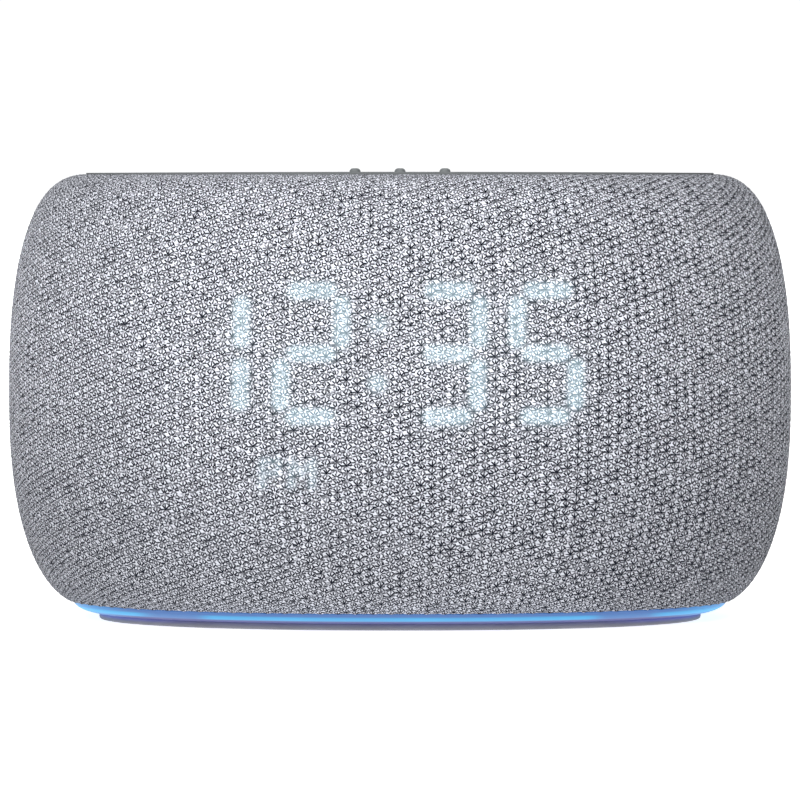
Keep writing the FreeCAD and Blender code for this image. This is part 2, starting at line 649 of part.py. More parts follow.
def main_board():
    y0, y1 = BOARD_Y
    board = box(-BOARD_HALF, BOARD_HALF, y0, y1, BOARD_Z[0], BOARD_Z[1])
    posts = corners_of(BOARD_SCREW_XZ[0][0], [z for _, z in BOARD_SCREW_XZ])
    export("main_board", board.cut([rod_y(SMALL_SCREW_HOLE_R, x, z, y0 - 1, y1 + 1) for x, z in posts]))
    export("shield_can", box(-25, 25, y0 - 2.6, y0, 46, 82))
    plate = box(-27, 27, y0 - 4.1, y0 - 2.6, 44, 85.2)
    fins = [box(-27, 27, y0 - 9.1, y0 - 4.1, 44 + 8 * i, 45.2 + 8 * i) for i in range(6)]
    export("heat_sink", plate.fuse(fins).removeSplitter())
    parts = [rod_y(3.15, x, 24, y0 - 8, y0) for x in (-26, -18)]
    parts += [box(x, x + 7, y0 - 3, y0, 20, 27) for x in (-8, 3)]
    parts += [box(15, 23, y0 - 1.2, y0, 18, 26), box(-33, -27, y0 - 1.0, y0, 54, 62)]
    export("board_components", *parts)
    export("antenna_board", box(-18, 18, y0 + 0.2, y1 - 0.2, BOARD_Z[1], BOARD_Z[1] + 9))
    return [small_screw(V(x, y0, z), V(x, y1 + 5, z)) for x, z in posts]


def sockets():
    back = BOARD_Y[1]
    floor = RECESS_FLOOR_Y
    jack = box(JACK_X - 4.5, JACK_X + 4.5, back, floor - 1.7, SOCKET_Z - 5.5, SOCKET_Z + 5.5)
    jack = jack.fuse(rod_y(3.9, JACK_X, SOCKET_Z, floor - 1.7, floor))
    jack = jack.cut(rod_y(2.8, JACK_X, SOCKET_Z, floor - 9, floor + 1))
    jack = jack.fuse(rod_y(0.95, JACK_X, SOCKET_Z, floor - 9, floor - 1))
    export("power_jack", jack)
    usb = box(USB_X - 4.5, USB_X + 4.5, back, floor, SOCKET_Z - 1.6, SOCKET_Z + 1.6)
    usb = usb.cut(box(USB_X - 4.1, USB_X + 4.1, floor - 6.5, floor + 1, SOCKET_Z - 1.25, SOCKET_Z + 1.25))
    usb = usb.fuse(box(USB_X - 3.3, USB_X + 3.3, floor - 6.5, floor - 0.8, SOCKET_Z - 0.35, SOCKET_Z + 0.35))
    export("usb_socket", usb)


def leads():
    front = BOARD_Y[0]
    z = 40
    path = [V(-12, DISPLAY_BACK_Y, z), V(-12, -12, z), V(-12, 8, 34), V(-12, front, 34)]
    export("display_ribbon", flat_lead(path, 5, 14))
    path = [V(14, 4, KEY_BOARD[2]), V(14, 4, 88), V(14, front, 88)]
    export("key_board_ribbon", flat_lead(path, 5, 10))
    path = [V(0, -6.6, 4.65), V(0, -2, 4.65), V(0, -2, 31), V(0, front, 31)]
    export("light_ring_lead", flat_lead(path, 3, 8))
    wires = []
    for side in (-1, 1):
        for z in (46.0, 48.0):
            path = [V(side * BOX_X, 5, z), V(side * 33, 5, z), V(side * 33, front, z)]
            wires.append(round_lead(path, 8, 0.7))
    export("speaker_leads", *wires)


def main():
    fabric_sleeve()
    shells()
    rear_io_panel()
    rubber_foot()
    light_ring()
    ring_lights()
    base_plate()
    top_panel()
    for name, x in key_spots():
        key(name, x)
    board_screws = key_board() + display() + main_board()
    driver_screws = []
    for name, side in (("left", -1), ("right", 1)):
        speaker_box(name, side)
        driver_screws += driver(name, side)
    sockets()
    leads()
    export("board_screws", *board_screws)
    export("driver_screws", *driver_screws)
    export("casing_screws", *casing_screws())


main()
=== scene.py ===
import json
import math

import bmesh
import bpy
import numpy as np
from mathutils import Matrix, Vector


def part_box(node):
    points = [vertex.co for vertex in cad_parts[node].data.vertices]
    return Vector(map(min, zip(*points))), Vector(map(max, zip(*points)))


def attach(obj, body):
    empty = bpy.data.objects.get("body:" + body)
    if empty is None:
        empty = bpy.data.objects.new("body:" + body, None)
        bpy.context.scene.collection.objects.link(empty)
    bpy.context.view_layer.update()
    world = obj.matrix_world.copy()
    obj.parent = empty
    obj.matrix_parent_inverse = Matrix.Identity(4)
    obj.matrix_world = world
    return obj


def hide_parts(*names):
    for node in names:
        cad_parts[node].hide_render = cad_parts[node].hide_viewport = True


# The looks of a fabric-covered smart speaker. Metres, +Z up, front towards -Y.

MM = 0.001

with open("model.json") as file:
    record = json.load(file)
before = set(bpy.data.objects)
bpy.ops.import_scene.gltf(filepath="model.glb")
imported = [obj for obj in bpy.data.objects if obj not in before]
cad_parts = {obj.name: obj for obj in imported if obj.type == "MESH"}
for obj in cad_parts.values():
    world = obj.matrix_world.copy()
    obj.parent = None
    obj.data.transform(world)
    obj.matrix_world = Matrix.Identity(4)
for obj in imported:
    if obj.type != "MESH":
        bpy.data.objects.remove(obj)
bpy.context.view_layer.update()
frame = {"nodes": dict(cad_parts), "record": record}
NODES = frame["nodes"]

# ---- the casing's skin, as the frame gives it ----
SLEEVE_LOW, SLEEVE_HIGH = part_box("fabric_sleeve")
PANEL_LOW, PANEL_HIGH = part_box("top_panel")
FOOT_LOW, FOOT_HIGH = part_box("rubber_foot")
RING_LOW, RING_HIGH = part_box("light_ring")
RECESS_LOW, RECESS_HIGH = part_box("rear_io_panel")
HALF_WIDTH = (SLEEVE_HIGH[0] - SLEEVE_LOW[0]) / 2
DEPTH_LESS = HALF_WIDTH - (SLEEVE_HIGH[1] - SLEEVE_LOW[1]) / 2
PLAN_POWER = 2.2

# ---- the skin's upright profile: a flat top and bottom joined by bulging sides ----
TOP_Z = 113.75 * MM
WIDEST_Z = 57.1 * MM
SKIN_BOTTOM_Z = 3.55 * MM
TOP_FLAT = 77.74 * MM
BOTTOM_FLAT = 79.72 * MM
TOP_POWERS = (2.416, 2.841)
BOTTOM_POWERS = (2.424, 2.116)

# ---- the light ring: its inside, and the lip that rises outside its lights ----
RING_INNER_A = 66.0 * MM
RING_INNER_TOP = 4.0 * MM
RING_LIP_A = 78.4 * MM
RING_STEPS = 12                 # points up its bulging outside
RING_CLEARANCE = 0.02 * MM      # how far its top stays under the CAD ring's top
RING_GAP_X = 56.5 * MM          # where the two unlit stretches in front have their middles
BAND_TURNS = 480                # points round the ring and the foot

# ---- the foot ----
FOOT_INNER_A = 56.0 * MM
FOOT_CHAMFER = 0.3 * MM
FOOT_ROUNDING = 0.6 * MM
FOOT_STEPS = 6                  # steps round its lower outer edge

# ---- the knit ----
COLUMNS = 198
COLUMN_PITCH = 2.6 * MM
ROW_PITCH = 1.9 * MM
YARN = (0.705, 0.722, 0.79, 1.0)
DARK_YARN = (0.005, 0.006, 0.011, 1.0)
STEPS = 4                       # mesh steps across one stitch, each way
STITCH_RELIEF = 0.16 * MM
SLEEVE_THICKNESS = 0.8 * MM
HEM_A = 81.2 * MM
SLEEVE_TOP_A = (PANEL_HIGH[0] - PANEL_LOW[0]) / 2 + 0.35 * MM
HEM_RINGS = 12                  # rings of the part turned in at the bottom
TUCK_DEPTHS = np.linspace(0.2, 0.8, 4) * MM     # rings of the part turned down beside the top panel
RECESS_FRAME = 1.4 * MM         # how much of the socket recess's edge the knit leaves covered

# ---- the knit's dark strokes: a star round each stitch, and shorter ones between the stitches ----
# Lengths are in millimetres. The family only sets the layer's random numbers apart.
STAR_STROKES = {"arms": 8.0, "family": 1.0, "reach": 0.84, "width": 0.25, "jitter": 0.24}
BETWEEN_STROKES = {"arms": 3.0, "family": 3.0, "reach": 0.50, "width": 0.21, "jitter": 0.4, "hole": -0.5}
BETWEEN_STRENGTH = 0.9

# ---- the clock, seen on the knit from straight in front, in millimetres ----
DIGIT_X = (-46.2, -21.7, 11.8, 35.8)
DIGIT_Z = 70.0
DIGIT_WIDTH = 14.6
DIGIT_HEIGHT = 30.7
DIGIT_LEAN = 0.02
BAR = 3.9
SEGMENT_GAP = 1.45
COLON_X = -5.4
COLON_RISE = 7.2
HALF_DAY_X = (-31.0, -23.4)
HALF_DAY_Z = 40.7
SEGMENTS_LIT = ("BC", "ABGED", "ABGCD", "AFGCD")
BAR_BLUR = 0.32
BAR_HALO = 5.5
COLON_RADIUS = 1.9
COLON_BLUR = 0.5
COLON_HALO = 5.0
COLON_POWERS = ((-1, 1.0), (1, 0.7))            # side of the digits' middle, brightness
HALF_DAY_RADIUS = 0.8
HALF_DAY_BLUR = 0.4
HALF_DAY_POWER = 0.62
GLOW_STRENGTH = 0.43
HALO_STRENGTH = 0.025

# ---- the view ----
CAMERA_DISTANCE = 1.172
CAMERA_HEIGHT = 0.114
CAMERA_LENS = 206.0
CAMERA_PITCH = math.radians(2.84)

# ---- the light ----
SKY_LEFT = 0.36
SKY_RIGHT = 0.12
SKY_BEHIND = 1.05
SUN_STRENGTH = 3.7
SUN_SPREAD = 55.0
SUN_WAY = (0.12, 0.70, -0.78)


# ---------------------------------------------------------------- materials

class Graph:
    """A material's nodes, written as short calls."""

    def __init__(self, name):
        self.material = bpy.data.materials.new(name)
        self.material.use_nodes = True
        self.tree = self.material.node_tree
        self.tree.nodes.clear()
        self.output = self.tree.nodes.new("ShaderNodeOutputMaterial")
        self.shader = self.tree.nodes.new("ShaderNodeBsdfPrincipled")
        self.tree.links.new(self.shader.outputs[0], self.output.inputs["Surface"])

    def node(self, kind, **settings):
        made = self.tree.nodes.new(kind)
        for key, value in settings.items():
            setattr(made, key, value)
        return made

    def put(self, socket, value):
        if isinstance(value, bpy.types.NodeSocket):
            self.tree.links.new(value, socket)
        else:
            socket.default_value = value

    def set(self, **values):
        for key, value in values.items():
            self.put(self.shader.inputs[key.replace("_", " ")], value)

    def math(self, operation, a, b=0.0, c=0.0):
        made = self.node("ShaderNodeMath", operation=operation)
        for socket, value in zip(made.inputs, (a, b, c)):
            self.put(socket, value)
        return made.outputs[0]

    def ramp(self, value, low, high, out_low=0.0, out_high=1.0, smooth=True):
        made = self.node("ShaderNodeMapRange", clamp=True)
        made.interpolation_type = "SMOOTHSTEP" if smooth else "LINEAR"
        for socket, given in zip(made.inputs, (value, low, high, out_low, out_high)):
            self.put(socket, given)
        return made.outputs[0]

    def mix(self, factor, a, b):
        made = self.node("ShaderNodeMix", data_type="RGBA")
        self.put(made.inputs[0], factor)
        self.put(made.inputs[6], a)
        self.put(made.inputs[7], b)
        return made.outputs[2]

    def split(self, vector):
        made = self.node("ShaderNodeSeparateXYZ")
        self.put(made.inputs[0], vector)
        return made.outputs

    def join(self, x, y, z=0.0):
        made = self.node("ShaderNodeCombineXYZ")
        for socket, value in zip(made.inputs, (x, y, z)):
            self.put(socket, value)
        return made.outputs[0]

    def place(self):
        return self.node("ShaderNodeTexCoord").outputs["Object"]

    def noise(self, vector, scale, detail=2.0, roughness=0.5):
        made = self.node("ShaderNodeTexNoise")
        self.put(made.inputs["Vector"], vector)
        made.inputs["Scale"].default_value = scale
        made.inputs["Detail"].default_value = detail
        made.inputs["Roughness"].default_value = roughness
        return made.outputs

    def bump(self, height, distance, strength):
        made = self.node("ShaderNodeBump")
        made.inputs["Strength"].default_value = strength
        made.inputs["Distance"].default_value = distance
        self.put(made.inputs["Height"], height)
        self.put(self.shader.inputs["Normal"], made.outputs[0])


def grey(level):
    return (level, level, level, 1.0)


def nearest_stitch(g, u, v):
    """Offset in millimetres from the nearest stitch of the half-drop lattice, and its number."""
    def from_lattice(shift_u, shift_v):
        half = g.math("MULTIPLY", g.math("SUBTRACT", u, shift_u), 0.5)
        course = g.math("SUBTRACT", v, shift_v)
        column, row = g.math("ROUND", half), g.math("ROUND", course)
        x = g.math("MULTIPLY", g.math("SUBTRACT", half, column), 2 * COLUMN_PITCH / MM)
        y = g.math("MULTIPLY", g.math("SUBTRACT", course, row), ROW_PITCH / MM)
        return g.join(x, y), g.join(column, row, shift_u)

    offset_a, number_a = from_lattice(0.0, 0.0)
    offset_b, number_b = from_lattice(1.0, 0.5)
    far_a = g.node("ShaderNodeVectorMath", operation="LENGTH")
    far_b = g.node("ShaderNodeVectorMath", operation="LENGTH")
    g.put(far_a.inputs[0], offset_a)
    g.put(far_b.inputs[0], offset_b)
    b_nearer = g.math("LESS_THAN", far_b.outputs["Value"], far_a.outputs["Value"])
    return g.mix(b_nearer, offset_a, offset_b), g.mix(b_nearer, number_a, number_b)


def chance(g, vector):
    """Three random numbers that depend only on the vector."""
    made = g.node("ShaderNodeTexWhiteNoise", noise_dimensions="3D")
    g.put(made.inputs["Vector"], vector)
    return g.split(made.outputs["Color"])


def stitch_strokes(g, u, v, arms, family, reach, width, jitter, hole):
    """Short dark strokes that point away from each stitch, with a dark eye in some of them, and a painted
    highlight beside each stroke.
    """
    offset, number = nearest_stitch(g, u, v)
    x, y, _ = g.split(offset)
    column, row, shift = g.split(number)
    r1, r2, r3 = chance(g, g.join(column, row, g.math("ADD", shift, family)))
    x = g.math("ADD", x, g.math("MULTIPLY", g.math("SUBTRACT", r1, 0.5), jitter))
    y = g.math("ADD", y, g.math("MULTIPLY", g.math("SUBTRACT", r2, 0.5), jitter))
    far = g.math("SQRT", g.math("ADD", g.math("MULTIPLY", x, x), g.math("MULTIPLY", y, y)))
    turn = g.math("MULTIPLY_ADD", g.math("ARCTAN2", y, x), arms / (2 * math.pi), 0.5)
    arm = g.math("FLOOR", turn)
    seed = g.math("ADD", arm, g.math("MULTIPLY", shift, 17.0))
    s1, s2, s3 = chance(g, g.join(column, row, g.math("ADD", seed, family * 5.0)))
    lean = g.math("MULTIPLY", g.math("SUBTRACT", s1, 0.5), 0.36)
    across = g.math("SUBTRACT", turn, arm)
    aside = g.math("ABSOLUTE", g.math("SUBTRACT", across, g.math("ADD", 0.5, lean)))
    arc = g.math("MULTIPLY", aside, g.math("MULTIPLY", far, 2 * math.pi / arms))
    thin = g.ramp(arc, width, width * 0.55)
    middle = g.math("MULTIPLY_ADD", g.math("SUBTRACT", s2, 0.5), 0.30, reach)
    half = g.math("MULTIPLY_ADD", s3, 0.26, 0.44)
    along = g.math("DIVIDE", g.math("ABSOLUTE", g.math("SUBTRACT", far, middle)), half)
    short = g.ramp(along, 1.12, 0.88)
    upper = g.ramp(g.math("DIVIDE", y, far), -0.4, 0.6, 0.76, 1.0)
    strength = g.math("MULTIPLY", upper, g.ramp(s2, 0.0, 0.15, 0.6, 1.0))
    stroke = g.math("MULTIPLY", g.math("MULTIPLY", thin, short), strength)
    # painted highlight: a light edge beside the stroke
    stroke_edge_highlight = g.math("MULTIPLY", g.ramp(arc, width * 2.8, width * 1.3), short)
    eye = g.math("MULTIPLY", g.ramp(far, 0.45, 0.22), g.ramp(g.math("ADD", r3, hole), 0.62, 0.90))
    return g.math("MAXIMUM", stroke, eye), stroke_edge_highlight


def knit_material():
    """Light yarn crossed by short dark strokes that stand like stars round the stitches, with painted shade
    towards the bottom and the sides, and painted highlights beside the strokes.
    """
    g = Graph("knit_fabric")
    uv = g.node("ShaderNodeUVMap", uv_map="knit").outputs[0]
    place_x, _, place_z = g.split(g.place())
    warp_x, warp_y, _ = g.split(g.noise(uv, 0.35, 2.0)[1])
    u, v, _ = g.split(uv)
    u = g.math("ADD", u, g.math("MULTIPLY", g.math("SUBTRACT", warp_x, 0.5), 0.16))
    v = g.math("ADD", v, g.math("MULTIPLY", g.math("SUBTRACT", warp_y, 0.5), 0.2))
    # painted shade: more and darker eyes towards the right side
    eyes_painted_darker_right = g.ramp(place_x, -60 * MM, 60 * MM, -0.12, 0.30)
    stars, rims = stitch_strokes(g, u, v, hole=eyes_painted_darker_right, **STAR_STROKES)
    half_u, half_v = g.math("ADD", u, 0.5), g.math("ADD", v, 0.25)
    between, between_edge_highlight = stitch_strokes(g, half_u, half_v, **BETWEEN_STROKES)
    between = g.math("MULTIPLY", between, BETWEEN_STRENGTH)
    dark = g.ramp(g.math("MAXIMUM", stars, between), 0.0, 0.88, smooth=False)
    bright = g.math("MAXIMUM", rims, between_edge_highlight)
    fibre = g.noise(uv, 9.0, 3.0, 0.75)[0]
    tone = g.noise(uv, 0.45, 2.0)[0]
    light = g.math("MULTIPLY_ADD", g.ramp(fibre, 0.3, 0.7), 0.16, 0.90)
    light = g.math("MULTIPLY", light, g.ramp(tone, 0.3, 0.7, 0.90, 1.08))
    # painted highlight: the yarn is a little lighter right beside the dark strokes
    light = g.math("MULTIPLY", light, g.ramp(bright, 0.0, 1.0, 0.96, 1.02))
    # painted shade: the yarn darkens towards the bottom, and towards both sides, most of all on the right
    light = g.math("MULTIPLY", light, g.ramp(place_z, 5 * MM, 80 * MM, 0.66, 1.0))
    right_side_painted_shade = g.ramp(place_x, 20 * MM, 95 * MM, 1.0, 0.74)
    left_side_painted_shade = g.ramp(place_x, -95 * MM, -30 * MM, 0.78, 1.0)
    light = g.math("MULTIPLY", light, g.math("MULTIPLY", right_side_painted_shade, left_side_painted_shade))
    yarn = g.node("ShaderNodeMix", data_type="RGBA", blend_type="MULTIPLY")
    yarn.inputs[0].default_value = 1.0
    yarn.inputs[6].default_value = YARN
    g.put(yarn.inputs[7], g.join(light, light, light))
    colour = g.mix(dark, yarn.outputs[2], DARK_YARN)
    g.set(Base_Color=colour, Roughness=0.9, Sheen_Weight=0.02, Sheen_Roughness=0.5)
    g.set(Specular_IOR_Level=0.05)
    glow = g.node("ShaderNodeAttribute", attribute_name="glow").outputs["Fac"]
    through = g.ramp(dark, 0.0, 1.0, 1.0, 0.85, smooth=False)
    g.set(Emission_Color=(0.60, 0.84, 0.95, 1.0))
    g.set(Emission_Strength=g.math("MULTIPLY", glow, through))
    height = g.math("MULTIPLY_ADD", fibre, 0.25, g.math("SUBTRACT", 1.0, dark))
    g.bump(height, 0.2 * MM, 0.5)
    return g.material


def grained(name, colour, roughness, grain, depth, mottle=0.06):
    """Moulded plastic or rubber with a fine sparked grain and a little unevenness."""
    g = Graph(name)
    place = g.place()
    fine = g.noise(place, grain, 3.0, 0.6)[0]
    broad = g.noise(place, 60.0, 3.0)[0]
    dim = tuple(c * (1 - mottle) for c in colour[:3]) + (1.0,)
    bright = tuple(min(1.0, c * (1 + mottle)) for c in colour[:3]) + (1.0,)
    g.set(Base_Color=g.mix(g.ramp(broad, 0.3, 0.7), dim, bright))
    g.set(Roughness=g.ramp(fine, 0.2, 0.8, roughness - 0.08, roughness + 0.08))
    g.bump(fine, depth, 0.6)
    return g.material


def metal(name, colour, roughness):
    """Metal with fine brush lines that lie level."""
    g = Graph(name)
    mapping = g.node("ShaderNodeMapping")
    g.put(mapping.inputs["Vector"], g.place())
    mapping.inputs["Scale"].default_value = (1.0, 1.0, 12.0)
    lines = g.noise(mapping.outputs[0], 900.0, 3.0, 0.6)[0]
    g.set(Base_Color=g.mix(lines, tuple(c * 0.85 for c in colour[:3]) + (1.0,), colour))
    g.set(Metallic=1.0, Roughness=g.ramp(lines, 0.2, 0.8, roughness - 0.1, roughness + 0.1))
    g.bump(lines, 0.02 * MM, 0.4)
    return g.material


def circuit_board_material():
    """Green solder mask over a mesh of copper tracks."""
    g = Graph("circuit_board")
    place = g.place()
    cells = g.node("ShaderNodeTexVoronoi", distance="MANHATTAN", feature="F1")
    g.put(cells.inputs["Vector"], place)
    cells.inputs["Scale"].default_value = 450.0
    tracks = g.ramp(cells.outputs["Distance"], 0.35, 0.45)
    fine = g.noise(place, 2500.0, 2.0)[0]
    g.set(Base_Color=g.mix(tracks, (0.012, 0.10, 0.045, 1), (0.03, 0.20, 0.09, 1)))
    g.set(Roughness=g.ramp(fine, 0.2, 0.8, 0.28, 0.4), Coat_Weight=0.3)
    g.bump(tracks, 0.03 * MM, 0.5)
    return g.material


def smoked_lens_material():
    g = Graph("smoked_lens")
    fine = g.noise(g.place(), 900.0, 2.0)[0]
    g.set(Base_Color=g.mix(fine, (0.10, 0.11, 0.12, 1), (0.14, 0.15, 0.16, 1)))
    g.set(Roughness=g.ramp(fine, 0.2, 0.8, 0.1, 0.2), Transmission_Weight=0.6)
    return g.material


def lit_material(name, colour, strength):
    g = Graph(name)
    fine = g.noise(g.place(), 500.0, 2.0)[0]
    g.set(Base_Color=g.mix(fine, grey(0.75), grey(0.9)), Roughness=0.35, Emission_Color=colour)
    g.set(Emission_Strength=g.ramp(fine, 0.2, 0.8, strength * 0.85, strength))
    return g.material


def light_ring_material():
    """Frosted acrylic lit from inside: a bright line low down, with two unlit stretches in front, painted
    shade above the line and a painted shadow line below it.
    """
    g = Graph("light_guide")
    x, y, z = g.split(g.place())
    up = g.ramp(z, RING_LOW[2], RING_HIGH[2], 0.0, 1.0, smooth=False)
    line = g.math("MULTIPLY", g.ramp(up, 0.26, 0.40), g.ramp(up, 0.78, 0.55))
    aside = g.math("SUBTRACT", g.math("ABSOLUTE", x), RING_GAP_X)
    gap = g.ramp(g.math("ABSOLUTE", aside), 3 * MM, 12 * MM)
    rear = g.ramp(y, -4 * MM, 4 * MM)
    cloud = g.noise(g.join(x, y, 0.0), 45.0, 2.0)[0]
    power = g.ramp(g.math("MAXIMUM", gap, rear), 0.0, 1.0, 0.12, 1.0)
    lit = g.math("MULTIPLY", line, g.math("MULTIPLY", power, g.ramp(cloud, 0.3, 0.7, 0.8, 1.0)))
    ends = g.ramp(g.math("ABSOLUTE", x), 66 * MM, 78 * MM, 0.0, 0.65)
    # The bright line is the lit guide; the navy at the bottom is a painted shadow line, and the dimmer blue
    # above the line is painted shade under the hem's overhang.
    body = g.mix(g.ramp(up, 0.24, 0.36), (0.030, 0.032, 0.190, 1), (0.032, 0.135, 0.400, 1))
    body = g.mix(ends, body, (0.018, 0.31, 0.72, 1))
    glow = g.mix(lit, body, (0.015, 0.42, 0.78, 1))
    g.set(Base_Color=g.mix(up, (0.020, 0.025, 0.060, 1), (0.025, 0.040, 0.080, 1)), Roughness=0.4)
    g.set(Emission_Color=glow, Emission_Strength=0.9)
    fine = g.noise(g.place(), 1800.0, 2.0)[0]
    g.bump(fine, 0.02 * MM, 0.3)
    return g.material


def foot_material():
    """Grey rubber with the ring's blue light painted on as a glow along its upper edge, most of all near its
    ends.
    """
    g = Graph("foot_rubber")
    x, _, z = g.split(g.place())
    fine = g.noise(g.place(), 1400.0, 3.0, 0.6)[0]
    broad = g.noise(g.place(), 60.0, 3.0)[0]
    g.set(Base_Color=g.mix(g.ramp(broad, 0.3, 0.7), (0.235, 0.240, 0.260, 1), (0.275, 0.280, 0.305, 1)))
    g.set(Roughness=g.ramp(fine, 0.2, 0.8, 0.62, 0.78))
    # painted reflection of the ring's light: the foot's upper edge glows blue
    edge = g.ramp(z, 0.5 * MM, 1.5 * MM, 0.0, 1.0)
    ends = g.ramp(g.math("ABSOLUTE", x), 48 * MM, 68 * MM, 0.25, 1.0)
    g.set(Emission_Color=(0.06, 0.09, 1.0, 1.0))
    g.set(Emission_Strength=g.math("MULTIPLY", g.math("MULTIPLY", edge, ends), 0.22))
    g.bump(fine, 0.03 * MM, 0.6)
    return g.material


def blank_label_material():
    g = Graph("label_film")
    fibres = g.noise(g.place(), 1500.0, 4.0, 0.7)[0]
    g.set(Base_Color=g.mix(fibres, grey(0.62), grey(0.72)), Roughness=g.ramp(fibres, 0.2, 0.8, 0.45, 0.6))
    g.bump(fibres, 0.01 * MM, 0.4)
    return g.material


def make_materials():
    panel = (0.150, 0.162, 0.165, 1.0)
    made = {
        "knit_fabric": knit_material(),
        "shell_plastic": grained("shell_plastic", (0.045, 0.048, 0.052, 1), 0.55, 1800.0, 0.03 * MM),
        "panel_plastic": grained("panel_plastic", panel, 0.62, 2200.0, 0.02 * MM, 0.04),
        "black_plastic": grained("black_plastic", (0.014, 0.014, 0.015, 1), 0.5, 1500.0, 0.03 * MM),
        "white_plastic": grained("white_plastic", (0.70, 0.71, 0.71, 1), 0.5, 1500.0, 0.02 * MM, 0.03),
        "black_rubber": grained("black_rubber", (0.012, 0.012, 0.012, 1), 0.8, 1300.0, 0.03 * MM),
        "foot_rubber": foot_material(),
        "unlit_segments": grained("unlit_segments", (0.10, 0.105, 0.11, 1), 0.4, 800.0, 0.01 * MM),
        "cone_paper": grained("cone_paper", (0.02, 0.02, 0.02, 1), 0.75, 900.0, 0.06 * MM, 0.2),
        "spider_cloth": grained("spider_cloth", (0.25, 0.15, 0.05, 1), 0.85, 1100.0, 0.08 * MM, 0.2),
        "ribbon": grained("ribbon", (0.30, 0.14, 0.02, 1), 0.3, 500.0, 0.01 * MM),
        "wire_sheath": grained("wire_sheath", (0.10, 0.01, 0.01, 1), 0.4, 700.0, 0.01 * MM),
        "black_steel": metal("black_steel", (0.05, 0.05, 0.055, 1), 0.45),
        "steel": metal("steel", (0.62, 0.62, 0.63, 1), 0.35),
        "aluminium": metal("aluminium", (0.80, 0.81, 0.82, 1), 0.4),
        "circuit_board": circuit_board_material(),
        "smoked_lens": smoked_lens_material(),
        "lit_segments": lit_material("lit_segments", (0.85, 0.95, 1.0, 1), 1.5),
        "dim_segments": lit_material("dim_segments", (0.85, 0.95, 1.0, 1), 0.4),
        "light_guide": light_ring_material(),
        "label_film": blank_label_material(),
    }
    return made


# ---------------------------------------------------------------- mesh building

def skin_profile(count):
    """Half widths and heights of the skin from its bottom to its top."""
    turn = np.linspace(-math.pi / 2, math.pi / 2, count)
    t = np.abs(np.sin(turn))
    below = turn < 0
    flat = np.where(below, BOTTOM_FLAT, TOP_FLAT)
    reach = np.where(below, SKIN_BOTTOM_Z - WIDEST_Z, TOP_Z - WIDEST_Z)
    first = np.where(below, BOTTOM_POWERS[0], TOP_POWERS[0])
    second = np.where(below, BOTTOM_POWERS[1], TOP_POWERS[1])
    bulge = np.clip(1 - t ** first, 0, 1) ** (1 / second)
    return flat + (HALF_WIDTH - flat) * bulge, WIDEST_Z + reach * t


def even_turns(count):
    """Plan angles that divide the widest outline into equal lengths, from the middle of the back."""
    fine = np.linspace(0, 2 * math.pi, 20001) + math.pi / 2
    x, y = plan(HALF_WIDTH, fine)
    length = np.concatenate([[0], np.cumsum(np.hypot(np.diff(x), np.diff(y)))])
    return np.interp(np.linspace(0, length[-1], count, endpoint=False), length, fine)


def plan(a, turn):
    """Points of the body's outline seen from above, where its half width is a."""
    c, s = np.cos(turn), np.sin(turn)
    x = a * np.sign(c) * np.abs(c) ** (2 / PLAN_POWER)
    y = (a - DEPTH_LESS) * np.sign(s) * np.abs(s) ** (2 / PLAN_POWER)
    return x, y


def resample(a, z, count):
    """The same profile as evenly spaced points, and its length."""
    length = np.concatenate([[0], np.cumsum(np.hypot(np.diff(a), np.diff(z)))])
    even = np.linspace(0, length[-1], count)
    return np.interp(even, length, a), np.interp(even, length, z), length[-1]


def ring_grid(a, z, turns):
    """Points of the surface with one ring per (a, z) and one point per turn."""
    x, y = plan(a[:, None], turns[None, :])
    return np.stack([x, y, np.broadcast_to(z[:, None], x.shape)], axis=2)


def grid_quads(rings, count, start=0):
    """Quads between neighbouring rings, the rings closed on themselves."""
    row = np.arange(rings - 1)[:, None] * count
    col = np.arange(count)[None, :]
    after = (col + 1) % count
    quads = np.stack([row + col, row + after, row + count + after, row + count + col], axis=2)
    return quads.reshape(-1, 4) + start


def mesh_object(name, points, quads):
    mesh = bpy.data.meshes.new(name)
    mesh.vertices.add(len(points))
    mesh.vertices.foreach_set("co", np.asarray(points, dtype=np.float32).ravel())
    mesh.loops.add(quads.size)
    mesh.loops.foreach_set("vertex_index", quads.astype(np.int32).ravel())
    mesh.polygons.add(len(quads))
    mesh.polygons.foreach_set("loop_start", np.arange(0, quads.size, 4, dtype=np.int32))
    mesh.update(calc_edges=True)
    mesh.polygons.foreach_set("use_smooth", np.full(len(quads), True))
    obj = bpy.data.objects.new(name, mesh)
    bpy.context.scene.collection.objects.link(obj)
    return obj


def revolved(name, profile):
    """A closed band whose cross-section is the closed profile of (half width, height) points."""
    profile = np.array(profile)
    grid = ring_grid(profile[:, 0], profile[:, 1], even_turns(BAND_TURNS))
    rings = len(profile)
    quads = grid_quads(rings, BAND_TURNS)
    last = np.arange(BAND_TURNS)
    after = (last + 1) % BAND_TURNS
    top = (rings - 1) * BAND_TURNS
    quads = np.concatenate([quads, np.stack([top + last, top + after, after, last], axis=1)])
    obj = mesh_object(name, grid.reshape(-1, 3), quads)
    bm = bmesh.new()
    bm.from_mesh(obj.data)
    bmesh.ops.recalc_face_normals(bm, faces=bm.faces)
    bm.to_mesh(obj.data)
    bm.free()
    return obj


# ---------------------------------------------------------------- clock glow

def bar_distance(x, z, x0, z0, x1, z1):
    """Distance from each point to the bar from (x0, z0) to (x1, z1)."""
    dx, dz = x1 - x0, z1 - z0
    t = np.clip(((x - x0) * dx + (z - z0) * dz) / (dx * dx + dz * dz + 1e-9), 0, 1)
    return np.hypot(x - x0 - t * dx, z - z0 - t * dz)


